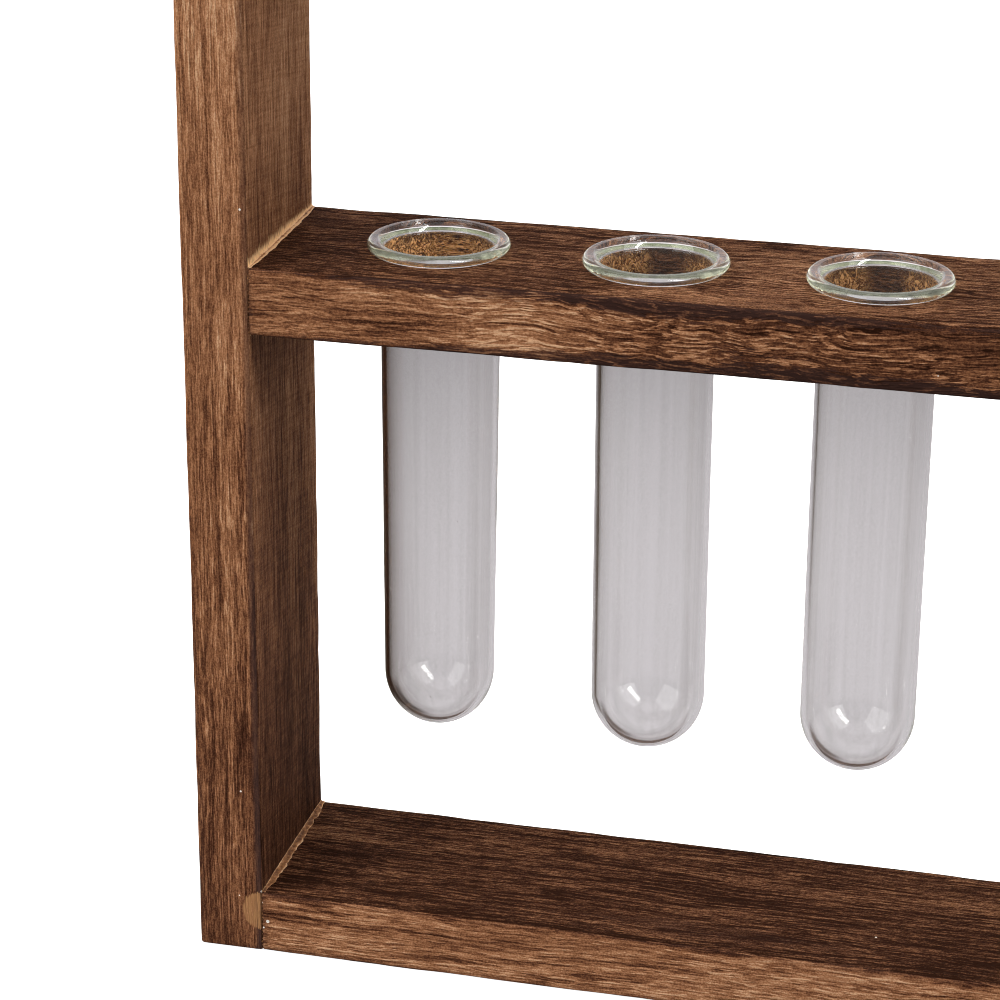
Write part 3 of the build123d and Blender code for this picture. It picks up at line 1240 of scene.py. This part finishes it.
# %% [markdown]
# ## The stage
# The photograph has a plain white ground, and the glass in it looks pale grey. Clear glass on a white floor
# would almost vanish, so the floor and the sky are white only where the camera sees them directly. Every
# ray that has gone through glass or bounced off wood finds a grey studio instead: a pool of light on the
# floor that fades outwards, a brown shade behind the left post, a bright wall at the back, a dim room in
# front and a bright ceiling. These tones are what the tubes show, so they were set by looking at the tubes.

# %% Make the floor
ground_grey = (0.583, 0.548, 0.571, 1)
pool_reach = (0.24, 0.80)
pool_edge_share = 0.35
shade_span = (-0.22, -0.75)
shade_start = (0.02, 0.06)
shade_brown = (0.085, 0.058, 0.042, 1)
floor_glow = 0.82
floor_paint = (0.62, 0.62, 0.62, 1)
floor_radius = 5.0
floor_gap = 0.1 * MM

floor_mesh = bpy.data.meshes.new("floor")
shape = bmesh.new()
bmesh.ops.create_circle(shape, cap_ends=True, segments=96, radius=floor_radius)
shape.to_mesh(floor_mesh)
shape.free()
floor_material = bpy.data.materials.new("floor")
wires = start_tree(floor_material)
glow = wires.shader("ShaderNodeEmission", Strength=floor_glow)
paint = wires.shader("ShaderNodeBsdfDiffuse", Color=floor_paint)
seen = wires.node("ShaderNodeAddShader")
wires.feed_all(seen.inputs, (glow, paint))
position, _ = wires.place()
x, y, _ = wires.split(position)
pool = wires.step(wires.vector("LENGTH", position), *pool_reach, 1.0, pool_edge_share)
aside = wires.math("DIVIDE", wires.minus(x, tube_centres["tube_1"].x), wires.math("MAXIMUM", y, 0.01))
shade = wires.times(wires.step(aside, *shade_span), wires.step(y, *shade_start))
felt = wires.shader("ShaderNodeEmission", Color=wires.mix(shade, ground_grey, shade_brown), Strength=pool)
out = wires.node("ShaderNodeOutputMaterial")
wires.set(out, Surface=wires.by_ray("Is Camera Ray", felt, seen.outputs[0]))
floor = add_piece("floor", floor_mesh, floor_material)
floor.location.z = -floor_gap
print("floor radius:", floor_radius, "m")

# %% Make the sky
room_share = 0.12
wall_share = 1.6
wall_top = (0.26, 0.40)
upper_wall_share = 0.55
ceiling_share = 1.8

scene.world = bpy.data.worlds.new("studio")
wires = start_tree(scene.world)
_, depth, steepness = wires.split(wires.node("ShaderNodeTexCoord").outputs["Generated"])
wall_glow = wires.step(steepness, *wall_top, wall_share, upper_wall_share)
back_wall = wires.blend(wires.step(depth, 0.1, 0.5), room_share, wall_glow)
ceiling = wires.step(steepness, 0.5, 0.95, 0.0, ceiling_share)
room = wires.math("MAXIMUM", back_wall, ceiling)
white_sky = wires.shader("ShaderNodeBackground", Color=(1, 1, 1, 1))
grey_sky = wires.shader("ShaderNodeBackground", Color=ground_grey, Strength=room)
out = wires.node("ShaderNodeOutputWorld")
wires.set(out, Surface=wires.by_ray("Is Camera Ray", grey_sky, white_sky))
print("the ceiling glows", ceiling_share, "times the ground")

# %% [markdown]
# ## The lights
# The front of the frame is bright, faces that look right are about half as bright, and soft shadows fall to
# the right, so the main light is a large soft box at the upper left in front. A sun lamp would cut hard
# shadows. A weaker box on the right lifts the inner face of the post, and a small one above the back lifts
# the top faces. Glass shows the boxes themselves, as gleams in the round bottoms and glints on the lips,
# and one set could not suit both. So the lights don't show in the glass, and three weak cards show in it
# without lighting the wood. A card must not lie in exactly the same plane as a light, or the two hide each
# other.

# %% Set up the soft boxes
aim = Vector((-0.10, 0.0, 0.15))
white = (1.0, 1.0, 1.0)


def add_softbox(name, place, width, height, watts, colour, turn=0.0):
    """A rectangular area light that looks at the tubes. A light is seen by the wood alone, and everything
    else by the glass alone."""
    lamp = bpy.data.lights.new(name, "AREA")
    lamp.shape = "RECTANGLE"
    lamp.size = width
    lamp.size_y = height
    lamp.energy = watts
    lamp.color = colour
    holder = bpy.data.objects.new(name, lamp)
    holder.location = place
    holder.rotation_euler = (aim - Vector(place)).to_track_quat("-Z", "Y").to_euler()
    holder.rotation_euler.rotate_axis("Z", turn)
    scene.collection.objects.link(holder)
    lights_wood = name.endswith("_light")
    holder.visible_diffuse = lights_wood
    holder.visible_glossy = not lights_wood
    holder.visible_transmission = not lights_wood
    return holder


softboxes = [
    add_softbox("left_light", (-1.51, -0.92, 1.03), 1.5, 1.6, 50, (1.0, 0.985, 0.96)),
    add_softbox("left_card", (-1.44, -0.88, 1.00), 2.5, 1.7, 22, white),
    add_softbox("right_light", (1.27, -0.15, 0.87), 0.6, 1.5, 21, (1.0, 0.99, 0.98)),
    add_softbox("right_card", (1.14, -1.12, 0.99), 0.28, 1.2, 18, white, turn=0.45),
    add_softbox("right_haze", (1.38, -0.82, 1.00), 1.4, 1.7, 15, white),
    add_softbox("top_light", (0.10, 0.55, 1.70), 1.0, 0.6, 5, white),
]
print("soft boxes:", [box.name for box in softboxes])

# %% Keep the colours as they are measured
scene.view_settings.view_transform = "Standard"
scene.view_settings.look = "None"
print("view transform:", scene.view_settings.view_transform)

# %% Let light travel far inside glass
light_bounces = 24
for kind in ("max", "glossy", "transmission", "transparent_max"):
    setattr(scene.cycles, kind + "_bounces", light_bounces)
print("bounces:", scene.cycles.max_bounces)

# %% Keep fine grain crisp
scene.cycles.filter_width = 1.0
print("each pixel gathers light from", scene.cycles.filter_width, "pixels")
